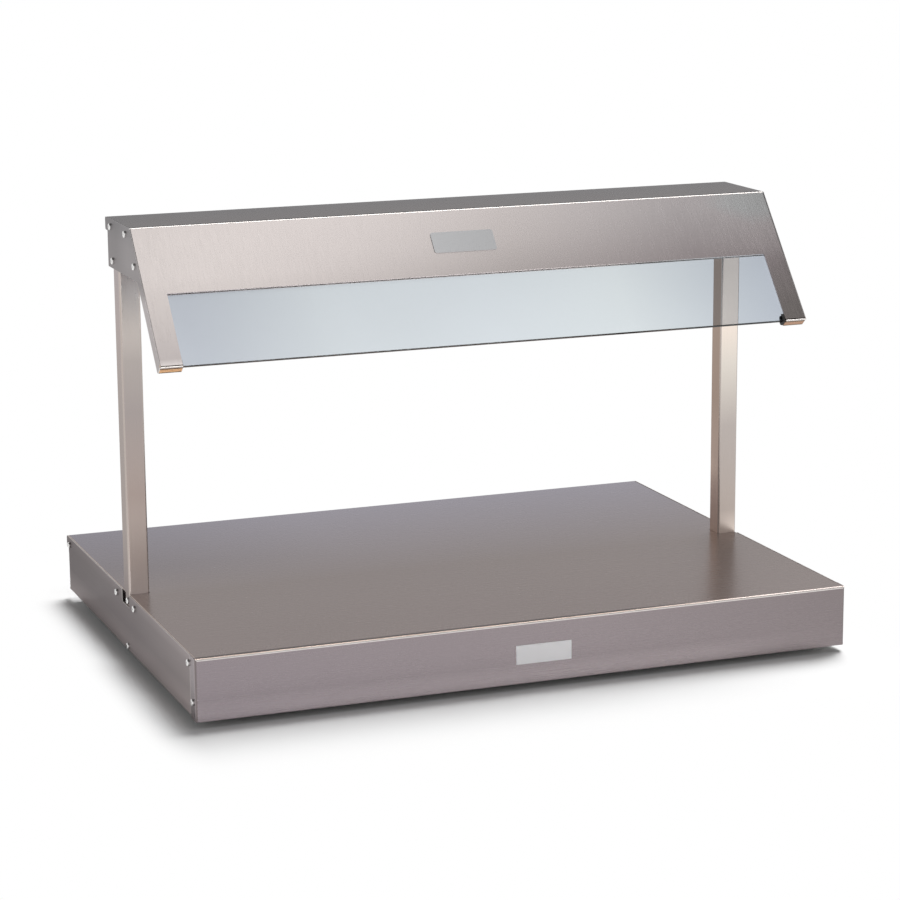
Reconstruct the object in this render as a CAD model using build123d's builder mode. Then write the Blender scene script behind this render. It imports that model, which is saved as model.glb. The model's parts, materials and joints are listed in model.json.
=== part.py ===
from build123d import *
import os
from math import cos, radians, sin

# Hot buffet counter: a heated steel base, two posts and a canopy with heat lamps and a glass front.
# X runs along the counter, the customers' side faces -Y and Z is up. The origin is on the surface
# that the feet stand on, under the middle of the base. Sizes are in millimetres.

# Sheet metal and fits
sheet = 1.5  # stainless sheet of the base and the canopy
seam = 0.3  # gap between neighbouring pieces
bend = 3.0  # outside radius of a fold
edge_round = 0.4  # softened edge of a cut plate
running_fit = 0.05  # gap around a turning pin

# Base
base_length = 800.0
base_depth = 600.0
front_panel_height = 72.0
ground_gap = 8.0  # front panel above the surface
end_rise = 3.0  # end plates and pan above the front panel's lower edge
rear_lip_height = 15.0
rear_lip_step = 10.0  # end plates stop short of the lip
rear_recess = 30.0  # control panel set in behind the lip
corner_return = 20.0  # front panel folded round each corner
skin_flange = 22.0  # top plate turned down inside the ends
top_edge_round = 1.0
pan_flange = 22.0
pan_rear_flange = 16.0
vent_length = 70.0
vent_width = 8.0
vent_columns = 5
vent_rows = 3
vent_step_x = 110.0
vent_step_y = 60.0

# Posts
post_size = 25.0
post_wall = 1.5
post_radius = 2.5
notch_side = 4.0  # notch in the end plate, each side of the post
notch_depth = 15.0
notch_radius = 3.0
slot_start = 4.0  # slot in the post's outer wall, from here to its rear corner
slot_height = 13.0
post_bolt_offset = -7.5
post_bolt_drop = 8.5
post_screw_rise = 3.5  # lower post screw above the pan's floor
post_screw_offset = -8.0
stay_sheet = 3.0
stay_foot = 45.0
stay_top_gap = 4.0

# Canopy
canopy_rise = 444.0  # base top to canopy top
canopy_front = 72.0  # posts' centre line to the front fold
canopy_rear = 38.0  # posts' centre line to the rear lip
canopy_lip_height = 15.0
canopy_lip_step = 10.0
canopy_side_drop = 57.0  # height of the end plates over the posts
canopy_flange = 22.0
back_flange = 12.0
slope_angle = 40.0  # sloped front, from the vertical
slope_length = 180.5  # front fold to the legs' feet
window_start = 88.5  # front fold to the window's top edge
leg_width = 27.0
leg_flange_stop = 14.0
leg_flange_inset = 4.0  # leg's flange inside the tail's edge
screw_flange_reach = 11.0  # wider flange past the slope's screw
tail_depth = 13.0  # end plate along the leg
hook_depth = 11.5  # hook at the leg's foot
hook_slot = 1.2  # dark slot between a leg's foot and its hook

# Glass and its holders
glass_thickness = 4.0
glass_overlap = 14.0  # hidden above the window's top edge
glass_side_gap = 2.0
glass_lift = 11.0
cushion_wall = 2.0
cushion_base = 1.0
cushion_grip = 7.5
cushion_round = 1.5
cushion_overhang = 0.8  # past the leg's inner edge
seal_height = 9.0
seal_inset = 1.0
pocket_sheet = 1.2
pocket_room = 3.0  # over the glass when it is lifted
pocket_flange = 14.0
pocket_inset = 2.0

# Lamps
reflector_sheet = 1.0
reflector_bend = 2.0
reflector_drop = 16.0  # flat of the reflector under the canopy's top
reflector_rear_drop = 40.0
reflector_rear_flange = 12.0
reflector_flat_rear = 8.0
reflector_flat_front = -48.0
reflector_front_start = 30.0
reflector_front_flange = 14.0
lamp_radius = 5.0
lamp_drop = 34.0
lamp_post_margin = 28.5  # posts to the outer holders' centres
lamp_middle_gap = 50.0
holder_length = 20.0
holder_width = 24.0
holder_height = 27.0
socket_depth = 8.0
guard_rod = 1.5
guard_drop = 50.0
guard_weld = 2.0
guard_inset = 5.0
guard_bend = 8.0
guard_clear = 8.0
guard_rods = 4
guard_bars = 13

# Heating of the base
mat_thickness = 2.0
mat_gap = 40.0
mat_side_margin = 20.0
mat_end_margin = 45.0
board_thickness = 20.0
board_groove = 14.0
board_groove_depth = 7.0
strap_sheet = 1.5
strap_bend = 3.0
strap_width = 25.0
strap_flange = 18.0
strap_spread = 85.0
strap_clear = 3.5

# Controls on the rear panel
thermostat_width = 36.0
thermostat_height = 30.0
thermostat_depth = 32.0
spindle_radius = 3.0
spindle_depth = 20.0
spindle_reach = 12.0
panel_hole_gap = 0.5
knob_gap = 0.8
knob_skirt_radius = 19.0
knob_skirt = 4.0
knob_radius = 14.0
knob_height = 17.0
knob_round = 1.5
knob_bar_width = 5.0
knob_bar_height = 3.0
bulb_radius = 3.0
bulb_length = 70.0
capillary_radius = 1.0
capillary_bend = 8.0
capillary_back = 18.0
switch_first = -110.0
switch_second = -160.0
rocker_width = 14.4
rocker_half = 11.5
rocker_front = 7.0
rocker_dip = 5.0
rocker_back = 1.0
rocker_keel = 6.0
rocker_keel_half = 4.0
rocker_tilt = 12.0
rocker_pivot_depth = 3.0
rocker_pin_radius = 1.5
rocker_pin_length = 1.8
cavity_half = 13.2
cavity_depth = 12.0
switch_wall = 2.0
switch_depth = 24.0
bezel = 2.0
bezel_border = 2.4
pilot_place = 60.0
pilot_radius = 5.0
pilot_flange = 7.0
pilot_depth = 22.0
pilot_height = 4.0
gland_inset = 116.7  # from the panel's end flange
gland_radius = 8.0
gland_bore = 4.5
gland_hex = 11.0
gland_hex_height = 5.0
gland_dome = 10.0
gland_reach = 19.0
gland_thread = 9.0
gland_nut_height = 5.0
terminal_offset = 80.0  # from the gland
terminal_back = 45.0
terminal_length = 40.0
terminal_width = 22.0
terminal_height = 18.0
terminal_hole = 2.0
terminal_hole_depth = 6.0
terminal_step = 12.0

# Lamp wiring
loom_radius = 2.5
loom_rise = 10.0  # over the pan's floor
loom_offset = 6.0  # from the post's centre line
loom_turn = 66.0  # from the post's axis to the long run
loom_drop = 7.0
loom_hole = 3.5
loom_bends = (40.0, 30.0, 8.0, 8.0, 5.0)

# Screws, nuts and feet
screw_radius = 2.0
screw_head_radius = 4.0
screw_head = 2.4
screw_length = 8.0
screw_clear = 0.2
recess_width = 0.8
recess_length = 4.2
recess_depth = 0.7
bolt_radius = 2.5
bolt_spare = 2.0
nut_radius = 4.0
nut_height = 4.0
nut_clear = 0.1
rear_screw_inset = 15.0
top_screw_drop = 10.0
post_screw_reach = 28.5
front_screw_inset = 4.5
corner_screw_inset = 10.5
corner_screw_rise = 20.5
panel_screw_rise = 11.0
panel_screw_inset = 60.0
canopy_screw_drop = 9.0
canopy_rear_screw = 24.5
canopy_front_screw = 18.0
canopy_post_screw_rise = 9.0
canopy_post_screw_offset = 6.0
slope_screw_along = 44.0
slope_screw_depth = 11.5
foot_radius = 16.0
foot_inset = 70.0
foot_bore_depth = 6.0
foot_bore_gap = 1.0
foot_screw_length = 14.0

# Blank plates
label_width = 68.5
label_height = 22.5
label_thickness = 0.4
label_place = 12.5
label_rise = 34.0
nameplate_width = 78.0
nameplate_height = 28.0
nameplate_thickness = 0.8
nameplate_radius = 3.0
nameplate_place = -6.0
nameplate_along = 44.5

# Places that follow from the sizes
half_length = base_length / 2
half_depth = base_depth / 2
inner_half = half_length - sheet
skin_half = inner_half - seam
flange_inner = skin_half - sheet
base_top = ground_gap + front_panel_height
base_under = base_top - sheet
pan_bottom = ground_gap + end_rise
pan_floor = pan_bottom + sheet
pan_top = pan_bottom + pan_flange
pan_front = -half_depth + sheet + seam
rear_face = half_depth - rear_recess
rear_inner = rear_face - sheet
pan_rear = rear_inner - seam
control_z = (pan_bottom + base_under) / 2
post_half = post_size / 2
post_inner = inner_half - post_size
post_centre = inner_half - post_half
canopy_top = base_top + canopy_rise
canopy_under = canopy_top - sheet
canopy_bottom = canopy_top - canopy_side_drop
canopy_back_face = canopy_rear - canopy_lip_step
canopy_back_inner = canopy_back_face - sheet
post_top = canopy_top - canopy_flange - seam
slope = radians(slope_angle)
slope_plane = Plane(
    origin=(0, -canopy_front, canopy_top),
    x_dir=(1, 0, 0),
    z_dir=(0, -cos(slope), sin(slope)),
)
hook_start = slope_length + hook_slot
hook_end = hook_start + sheet
leg_inner = half_length - leg_width
leg_flange = tail_depth - leg_flange_inset
flange_stop = slope_length - leg_flange_stop
cushion_low = hook_start - seam
groove_low = cushion_low - cushion_base
cushion_front = sheet + seam
glass_front = cushion_front + cushion_wall + seam
glass_back = glass_front + glass_thickness
glass_low = groove_low - seam
glass_high = window_start - glass_overlap
glass_half = flange_inner - glass_side_gap
pocket_top = glass_high - glass_lift - pocket_room
reflector_half = post_inner - seam
reflector_flat = canopy_top - reflector_drop
reflector_under = reflector_flat - reflector_sheet
lamp_y = (reflector_flat_rear + reflector_flat_front) / 2
lamp_z = canopy_top - lamp_drop
holder_outer = post_inner - lamp_post_margin
holder_middle = lamp_middle_gap / 2
mat_outer = post_inner - mat_side_margin
mat_front = -half_depth + mat_end_margin
mat_rear = rear_inner - mat_end_margin
mat_centre = (mat_gap / 2 + mat_outer) / 2
board_top = base_under - mat_thickness - seam
board_bottom = board_top - board_thickness
bulb_z = base_under - seam - bulb_radius
gland_place = flange_inner - gland_inset
terminal_place = gland_place - terminal_offset
terminal_y = rear_inner - terminal_back
screw_hole = screw_radius + screw_clear
bolt_hole = bolt_radius + screw_clear
sides = (("left", -1), ("right", 1))
along_x = (0, 90, 0)
along_y = (-90, 0, 0)

# Screw places on the ends, as Y and Z
skin_screws = [
    (half_depth - rear_screw_inset, base_top - top_screw_drop),
    (post_half + post_screw_reach, base_top - top_screw_drop),
    (-post_half - post_screw_reach, base_top - top_screw_drop),
    (-half_depth + corner_return + front_screw_inset, base_top - top_screw_drop),
]
corner_screw = (-half_depth + corner_screw_inset, ground_gap + corner_screw_rise)
post_screw = (post_screw_offset, pan_floor + post_screw_rise)
post_bolt = (post_bolt_offset, base_top - post_bolt_drop)
canopy_post_screw = (canopy_post_screw_offset, canopy_bottom + canopy_post_screw_rise)


def on_slope(along, depth):
    """Y and Z of a point that far down the sloped front and that far behind it."""
    y = -canopy_front - along * sin(slope) + depth * cos(slope)
    z = canopy_top - along * cos(slope) - depth * sin(slope)
    return y, z


def slope_at(drop, depth):
    """Y and Z of a point that far behind the sloped front and that far under the canopy's top."""
    return on_slope((drop - depth * sin(slope)) / cos(slope), depth)


canopy_screws_at = [
    (canopy_rear - canopy_rear_screw, canopy_top - canopy_screw_drop),
    (-canopy_front + canopy_front_screw, canopy_top - canopy_screw_drop),
    on_slope(slope_screw_along, slope_screw_depth),
]


def block(x_range, y_range, z_range, mode=Mode.ADD):
    """Box between the given limits, in the piece that is being built."""
    centre = [sum(limits) / 2 for limits in (x_range, y_range, z_range)]
    size = [abs(high - low) for low, high in (x_range, y_range, z_range)]
    with Locations(tuple(centre)):
        Box(*size, mode=mode)


def slope_block(x_range, along_range, depth_range, mode=Mode.ADD):
    """Box laid along the sloped front, in the piece that is being built."""
    x, along, depth = [sum(limits) / 2 for limits in (x_range, along_range, depth_range)]
    size = [abs(high - low) for low, high in (x_range, along_range, depth_range)]
    with Locations(slope_plane.location * Pos(x, -along, -depth)):
        Box(*size, mode=mode)


def rod(centre, direction, radius, length, mode=Mode.SUBTRACT):
    """Round bar or hole about its centre, in the piece that is being built."""
    with Locations(Location(centre, direction)):
        Cylinder(radius, length, mode=mode)


def end_holes(places, low, high, radius=screw_hole):
    """Holes along X through both ends, between two distances from the middle."""
    for sign in (-1, 1):
        for y, z in places:
            rod((sign * (low + high) / 2, y, z), along_x, radius, high - low + seam)


def make_screw(radius, head_radius, length):
    """Pan-head screw with a cross recess, its head above the XY plane."""
    with BuildPart() as screw:
        with Locations((0, 0, -length / 2)):
            Cylinder(radius, length)
        with Locations((0, 0, screw_head / 2)):
            Cylinder(head_radius, screw_head)
        fillet(screw.edges().group_by(Axis.Z)[-1], screw_head / 2)
        for size in ((recess_length, recess_width), (recess_width, recess_length)):
            with Locations((0, 0, screw_head)):
                Box(*size, 2 * recess_depth, mode=Mode.SUBTRACT)
    return screw.part


def make_nut(bore):
    """Hexagon nut that stands on the XY plane."""
    with BuildPart() as nut:
        with BuildSketch():
            RegularPolygon(nut_radius, 6, major_radius=False)
            Circle(bore + nut_clear, mode=Mode.SUBTRACT)
        extrude(amount=nut_height)
    return nut.part


def end_pose(sign, distance, place):
    """Pose on the left or right end, with Z turned outward."""
    return Location((sign * distance, *place), (0, sign * 90, 0))


def save(piece, label):
    """Name a finished piece and write it to a file of its own."""
    piece.part.label = label
    export_step(piece.part, f"parts/{label}.step")


os.makedirs("parts", exist_ok=True)

# Base skin: top plate, front panel, rear lip, side flanges and corner returns in one folded sheet
with BuildPart() as base_skin:
    with BuildSketch(Plane.YZ):
        with BuildLine():
            FilletPolyline(
                (-half_depth, ground_gap),
                (-half_depth, base_top),
                (half_depth, base_top),
                (half_depth, base_top - rear_lip_height),
                radius=bend,
            )
            offset(amount=sheet, side=Side.RIGHT)
        make_face()
    extrude(amount=skin_half, both=True)
    fillet(base_skin.edges().filter_by(Axis.Y).group_by(Axis.Z)[-1], top_edge_round)
    for sign in (-1, 1):
        block(
            (sign * flange_inner, sign * skin_half),
            (-half_depth + sheet, half_depth - sheet),
            (base_top - skin_flange, base_under),
        )
        with BuildSketch(Plane.XY.offset(ground_gap)):
            with BuildLine():
                FilletPolyline(
                    (sign * (skin_half - bend), -half_depth),
                    (sign * half_length, -half_depth),
                    (sign * half_length, -half_depth + corner_return),
                    radius=bend,
                )
                offset(amount=sheet, side=Side.LEFT if sign > 0 else Side.RIGHT)
            make_face()
        extrude(amount=front_panel_height)
        block(
            (sign * (post_inner - seam), sign * half_length),
            (-post_half - seam, post_half + seam),
            (base_top - skin_flange - seam, base_top + seam),
            mode=Mode.SUBTRACT,
        )
        block(
            (sign * (flange_inner - seam), sign * inner_half),
            (post_half, post_half + notch_side),
            (base_top - notch_depth, base_under),
            mode=Mode.SUBTRACT,
        )
    with BuildSketch(Plane.YZ):
        with Locations((-half_depth, base_top)):
            Rectangle(2 * bend, 2 * bend)
        with Locations((-half_depth + bend, base_top - bend)):
            Circle(bend, mode=Mode.SUBTRACT)
    extrude(amount=half_length + seam, both=True, mode=Mode.SUBTRACT)
    end_holes(skin_screws, flange_inner, skin_half)
    end_holes([corner_screw], inner_half, half_length)
save(base_skin, "base_skin")

# End plates of the base, notched under the posts
for side, sign in sides:
    with BuildPart() as base_end:
        with BuildSketch(Plane.YZ.offset(sign * inner_half)):
            with BuildLine():
                FilletPolyline(
                    (-half_depth + corner_return + seam, pan_bottom),
                    (half_depth - rear_lip_step, pan_bottom),
                    (half_depth - rear_lip_step, base_top - rear_lip_height),
                    (half_depth, base_top - rear_lip_height),
                    (half_depth, base_top),
                    (-half_depth + corner_return + seam, base_top),
                    radius=(bend, 0, 0, bend, bend, 0),
                    close=True,
                )
            make_face()
            with Locations((0, base_top)):
                RectangleRounded(
                    post_size + 2 * notch_side, 2 * notch_depth, notch_radius, mode=Mode.SUBTRACT
                )
            with Locations(*skin_screws, post_screw):
                Circle(screw_hole, mode=Mode.SUBTRACT)
        extrude(amount=sign * sheet)
        outer = base_end.faces().filter_by(Axis.X).sort_by(Axis.X)[-1 if sign > 0 else 0]
        fillet(outer.outer_wire().edges(), edge_round)
    save(base_end, f"base_end_{side}")

# Bottom pan, open under the posts' feet, with vents and holes for the feet
foot_places = [
    (x * (half_length - foot_inset), y * (half_depth - foot_inset)) for x in (-1, 1) for y in (-1, 1)
]
with BuildPart() as bottom_pan:
    block((-skin_half, skin_half), (pan_front, pan_rear), (pan_bottom, pan_top))
    fillet(bottom_pan.edges().filter_by(Axis.Z), bend - sheet)
    block(
        (-flange_inner, flange_inner),
        (pan_front + sheet, pan_rear - sheet),
        (pan_floor, pan_top + seam),
        mode=Mode.SUBTRACT,
    )
    for sign in (-1, 1):
        block(
            (sign * (post_inner - seam), sign * half_length),
            (-post_half - seam, post_half + seam),
            (pan_floor, pan_top + seam),
            mode=Mode.SUBTRACT,
        )
    block(
        (-flange_inner, flange_inner),
        (pan_rear - sheet - seam, pan_rear + seam),
        (pan_bottom + pan_rear_flange, pan_top + seam),
        mode=Mode.SUBTRACT,
    )
    with BuildSketch(Plane.XY.offset(pan_bottom)):
        with GridLocations(vent_step_x, vent_step_y, vent_columns, vent_rows):
            SlotOverall(vent_length, vent_width)
        with Locations(*foot_places):
            Circle(bolt_hole)
    extrude(amount=sheet, mode=Mode.SUBTRACT)
    end_holes([corner_screw], flange_inner, skin_half)
    for x in (-1, 1):
        place = (x * (flange_inner - panel_screw_inset), pan_rear - sheet / 2, pan_bottom + panel_screw_rise)
        rod(place, along_y, screw_hole, sheet + seam)
save(bottom_pan, "base_bottom_pan")

# Rear control panel
switch_width = rocker_width + 2 * seam + 2 * switch_wall
switch_half_height = cavity_half + switch_wall
panel_screws = [
    (x * (flange_inner - panel_screw_inset), rear_face, pan_bottom + panel_screw_rise) for x in (-1, 1)
]
panel_holes = (
    (0, spindle_radius + panel_hole_gap),
    (pilot_place, pilot_radius + seam),
    (gland_place, gland_radius + seam),
)
with BuildPart() as rear_panel:
    block(
        (-flange_inner + seam, flange_inner - seam),
        (rear_inner, rear_face),
        (pan_bottom, base_under - seam),
    )
    for x, radius in panel_holes:
        rod((x, (rear_inner + rear_face) / 2, control_z), along_y, radius, sheet + seam)
    for x, _, z in panel_screws:
        rod((x, (rear_inner + rear_face) / 2, z), along_y, screw_hole, sheet + seam)
    for x in (switch_first, switch_second):
        block(
            (x - switch_width / 2 - seam, x + switch_width / 2 + seam),
            (rear_inner - seam, rear_face + seam),
            (control_z - switch_half_height - seam, control_z + switch_half_height + seam),
            mode=Mode.SUBTRACT,
        )
save(rear_panel, "base_rear_panel")

# Heating mats pressed to the top plate
for side, sign in sides:
    with BuildPart() as heater_mat:
        block(
            (sign * mat_gap / 2, sign * mat_outer),
            (mat_front, mat_rear),
            (base_under - mat_thickness, base_under),
        )
    save(heater_mat, f"heater_mat_{side}")

# Insulation board, grooved for the thermostat's bulb
with BuildPart() as insulation:
    block((-mat_outer, mat_outer), (mat_front, mat_rear), (board_bottom, board_top))
    block(
        (-board_groove / 2, board_groove / 2),
        (-bulb_length / 2 - bulb_radius, mat_rear),
        (board_top - board_groove_depth, board_top),
        mode=Mode.SUBTRACT,
    )
save(insulation, "insulation_board")

# Straps that hold the board and the mats up
strap_front = mat_front - strap_clear
strap_rear = mat_rear + strap_clear
strap_top = board_bottom - seam
strap_places = [sign * (mat_centre + spread) for sign in (-1, 1) for spread in (-strap_spread, strap_spread)]
for index, x in enumerate(sorted(strap_places), start=1):
    with BuildPart() as strap:
        with BuildSketch(Plane.YZ.offset(x)):
            with BuildLine():
                FilletPolyline(
                    (strap_front - strap_flange, base_under),
                    (strap_front, base_under),
                    (strap_front, strap_top),
                    (strap_rear, strap_top),
                    (strap_rear, base_under),
                    (strap_rear + strap_flange, base_under),
                    radius=strap_bend,
                )
                offset(amount=strap_sheet, side=Side.RIGHT)
            make_face()
        extrude(amount=strap_width / 2, both=True)
    save(strap, f"heater_strap_{index}")

# Thermostat behind the rear panel
thermostat_rear = rear_inner - seam
with BuildPart() as thermostat:
    block(
        (-thermostat_width / 2, thermostat_width / 2),
        (thermostat_rear - thermostat_depth, thermostat_rear),
        (control_z - thermostat_height / 2, control_z + thermostat_height / 2),
    )
    rod(
        (0, thermostat_rear - spindle_depth / 2, control_z),
        along_y,
        spindle_radius + running_fit,
        spindle_depth,
    )
save(thermostat, "thermostat_body")

# Spindle that the knob turns
spindle_start = thermostat_rear - spindle_depth + seam
spindle_end = rear_face + knob_gap + spindle_reach
with BuildPart() as spindle:
    rod(
        (0, (spindle_start + spindle_end) / 2, control_z),
        along_y,
        spindle_radius,
        spindle_end - spindle_start,
        mode=Mode.ADD,
    )
save(spindle, "thermostat_spindle")

# Thermostat knob: skirt, grip and a pointer bar
knob_plane = Plane(origin=(0, rear_face + knob_gap, control_z), x_dir=(-1, 0, 0), z_dir=(0, 1, 0))
with BuildPart() as knob:
    with BuildSketch(knob_plane):
        Circle(knob_skirt_radius)
    extrude(amount=knob_skirt)
    with BuildSketch(knob_plane):
        Circle(knob_radius)
    extrude(amount=knob_height)
    fillet(knob.edges().filter_by(GeomType.CIRCLE).group_by(Axis.Y)[-1], knob_round)
    with BuildSketch(knob_plane.offset(knob_height - knob_round)):
        with Locations((0, knob_radius / 2)):
            Rectangle(knob_bar_width, knob_radius)
    extrude(amount=knob_round + knob_bar_height)
    with BuildSketch(knob_plane):
        Circle(spindle_radius + running_fit)
    extrude(amount=spindle_reach + seam, mode=Mode.SUBTRACT)
save(knob, "thermostat_knob")

# Thermostat bulb under the top plate and its capillary
with BuildPart() as sensor:
    rod((0, 0, bulb_z), along_y, bulb_radius, bulb_length, mode=Mode.ADD)
    with BuildLine():
        capillary = FilletPolyline(
            (0, bulb_length / 2 - bulb_radius, bulb_z),
            (0, thermostat_rear - capillary_back, bulb_z),
            (0, thermostat_rear - capillary_back, control_z + thermostat_height / 2 + seam),
            radius=capillary_bend,
        )
    with BuildSketch(Plane(origin=capillary @ 0, z_dir=capillary % 0)):
        Circle(capillary_radius)
    sweep()
save(sensor, "thermostat_sensor")

# Rocker switches: one for the base, one for the lamps
pivot_y = rear_face - rocker_pivot_depth
for label, x in (("base", switch_first), ("lamps", switch_second)):
    with BuildPart() as housing:
        block(
            (x - switch_width / 2, x + switch_width / 2),
            (rear_face - switch_depth, rear_face),
            (control_z - switch_half_height, control_z + switch_half_height),
        )
        block(
            (x - switch_width / 2 - bezel_border, x + switch_width / 2 + bezel_border),
            (rear_face, rear_face + bezel),
            (
                control_z - switch_half_height - bezel_border,
                control_z + switch_half_height + bezel_border,
            ),
        )
        fillet(housing.faces().sort_by(Axis.Y)[-1].edges(), bezel / 2)
        block(
            (x - rocker_width / 2 - seam, x + rocker_width / 2 + seam),
            (rear_face - cavity_depth, rear_face + bezel),
            (control_z - cavity_half, control_z + cavity_half),
            mode=Mode.SUBTRACT,
        )
        rod((x, pivot_y, control_z), along_x, rocker_pin_radius + running_fit, switch_width)
    save(housing, f"switch_housing_{label}")

    with BuildPart() as rocker:
        tilt = radians(rocker_tilt)
        rocker_plane = Plane(
            origin=(x - rocker_width / 2, pivot_y, control_z),
            x_dir=(0, cos(tilt), -sin(tilt)),
            z_dir=(1, 0, 0),
        )
        with BuildSketch(rocker_plane):
            with BuildLine():
                Polyline(
                    (rocker_front, rocker_half),
                    (rocker_dip, 0),
                    (rocker_front, -rocker_half),
                    (-rocker_back, -rocker_half),
                    (-rocker_keel, -rocker_keel_half),
                    (-rocker_keel, rocker_keel_half),
                    (-rocker_back, rocker_half),
                    close=True,
                )
            make_face()
        extrude(amount=rocker_width)
        rod(
            (x, pivot_y, control_z),
            along_x,
            rocker_pin_radius,
            rocker_width + 2 * rocker_pin_length,
            mode=Mode.ADD,
        )
    save(rocker, f"switch_rocker_{label}")

# Pilot lamp
pilot_plane = Plane(origin=(pilot_place, rear_face, control_z), x_dir=(-1, 0, 0), z_dir=(0, 1, 0))
with BuildPart() as pilot:
    with BuildSketch(pilot_plane):
        Circle(pilot_flange)
    extrude(amount=pilot_height)
    fillet(pilot.edges().group_by(Axis.Y)[-1], pilot_height / 2)
    with BuildSketch(pilot_plane):
        Circle(pilot_radius)
    extrude(amount=-pilot_depth)
save(pilot, "pilot_lamp")

# Cable gland, with its bore open for a mains lead
gland_plane = Plane(origin=(gland_place, rear_face, control_z), x_dir=(-1, 0, 0), z_dir=(0, 1, 0))
with BuildPart() as gland:
    with BuildSketch(gland_plane):
        RegularPolygon(gland_hex, 6, major_radius=False)
    extrude(amount=gland_hex_height)
    with BuildSketch(gland_plane):
        Circle(gland_dome)
    extrude(amount=gland_reach)
    fillet(gland.edges().filter_by(GeomType.CIRCLE).group_by(Axis.Y)[-1], gland_dome - gland_bore - sheet)
    with BuildSketch(gland_plane):
        Circle(gland_radius)
    extrude(amount=-gland_thread)
    with BuildSketch(gland_plane.offset(-sheet)):
        RegularPolygon(gland_hex, 6, major_radius=False)
    extrude(amount=-gland_nut_height)
    with BuildSketch(gland_plane.offset(gland_reach)):
        Circle(gland_bore)
    extrude(amount=-gland_reach - gland_thread, mode=Mode.SUBTRACT)
save(gland, "cable_gland")

# Terminal block on the pan
with BuildPart() as terminals:
    block(
        (terminal_place - terminal_length / 2, terminal_place + terminal_length / 2),
        (terminal_y - terminal_width / 2, terminal_y + terminal_width / 2),
        (pan_floor, pan_floor + terminal_height),
    )
    with BuildSketch(Plane.XY.offset(pan_floor + terminal_height)):
        with Locations((terminal_place, terminal_y)):
            with GridLocations(terminal_step, terminal_step, 3, 2):
                Circle(terminal_hole)
    extrude(amount=-terminal_hole_depth, mode=Mode.SUBTRACT)
save(terminals, "terminal_block")

# Rubber feet under the pan
for index, place in enumerate(foot_places, start=1):
    with BuildPart() as foot:
        with BuildSketch():
            with Locations(place):
                Circle(foot_radius)
        extrude(amount=pan_bottom)
        fillet(foot.edges().group_by(Axis.Z)[0], sheet)
        with BuildSketch():
            with Locations(place):
                Circle(screw_head_radius + foot_bore_gap)
        extrude(amount=foot_bore_depth, mode=Mode.SUBTRACT)
        with BuildSketch():
            with Locations(place):
                Circle(bolt_hole)
        extrude(amount=pan_bottom, mode=Mode.SUBTRACT)
    save(foot, f"foot_{index}")

foot_screw = make_screw(bolt_radius, screw_head_radius, foot_screw_length)
with BuildPart() as foot_screws:
    for x, y in foot_places:
        with Locations(Location((x, y, foot_bore_depth), (180, 0, 0))):
            add(foot_screw)
save(foot_screws, "foot_screws")

nut = make_nut(bolt_radius)
with BuildPart() as foot_nuts:
    for x, y in foot_places:
        with Locations((x, y, pan_floor)):
            add(nut)
save(foot_nuts, "foot_nuts")

# Posts: square tubes from the pan into the canopy, drilled for their fixings and the lamp wiring
for side, sign in sides:
    with BuildPart() as post:
        with BuildSketch(Plane.XY.offset(pan_floor)):
            with Locations((sign * post_centre, 0)):
                RectangleRounded(post_size, post_size, post_radius)
                bore = post_size - 2 * post_wall
                RectangleRounded(bore, bore, post_radius - post_wall, mode=Mode.SUBTRACT)
        extrude(amount=post_top - pan_floor)
        wall_x = sign * (inner_half - post_wall / 2)
        for y, z in (post_screw, canopy_post_screw):
            rod((wall_x, y, z), along_x, screw_hole, post_wall + seam)
        rod((sign * post_centre, *post_bolt), along_x, bolt_hole, post_size + seam)
        inner_wall = (sign * (post_inner + post_wall / 2), loom_offset, pan_floor + loom_rise)
        rod(inner_wall, along_x, loom_hole, post_wall + seam)
        slot_top = base_top - (notch_depth - slot_height) / 2
        block(
            (sign * (inner_half - post_wall - seam), sign * (inner_half + seam)),
            (slot_start, post_half + seam),
            (slot_top - slot_height, slot_top),
            mode=Mode.SUBTRACT,
        )
    save(post, f"post_{side}")

    with BuildPart() as stay:
        block(
            (sign * (post_inner - stay_sheet), sign * post_inner),
            (-post_half, post_half),
            (pan_floor, base_under - stay_top_gap),
        )
        block(
            (sign * (post_inner - stay_foot), sign * post_inner),
            (-post_half, post_half),
            (pan_floor, pan_floor + stay_sheet),
        )
        stay_x = sign * (post_inner - stay_sheet / 2)
        rod((stay_x, *post_bolt), along_x, bolt_hole, stay_sheet + seam)
        rod((stay_x, loom_offset, pan_floor + loom_rise), along_x, loom_hole, stay_sheet + seam)
    save(stay, f"post_stay_{side}")

post_bolt_screw = make_screw(
    bolt_radius, screw_head_radius, post_size + stay_sheet + nut_height + bolt_spare
)
with BuildPart() as post_bolts:
    for sign in (-1, 1):
        with Locations(end_pose(sign, inner_half, post_bolt)):
            add(post_bolt_screw)
save(post_bolts, "post_bolts")

with BuildPart() as post_nuts:
    for sign in (-1, 1):
        with Locations(end_pose(-sign, -(post_inner - stay_sheet), post_bolt)):
            add(nut)
save(post_nuts, "post_nuts")

# Screws of the base's ends and of the rear panel
pan_screw = make_screw(screw_radius, screw_head_radius, screw_length)
with BuildPart() as base_screws:
    for sign in (-1, 1):
        for place in (*skin_screws, corner_screw, post_screw):
            with Locations(end_pose(sign, half_length, place)):
                add(pan_screw)
save(base_screws, "base_screws")

with BuildPart() as rear_screws:
    for place in panel_screws:
        with Locations(Location(place, along_y)):
            add(pan_screw)
save(rear_screws, "rear_panel_screws")

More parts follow.
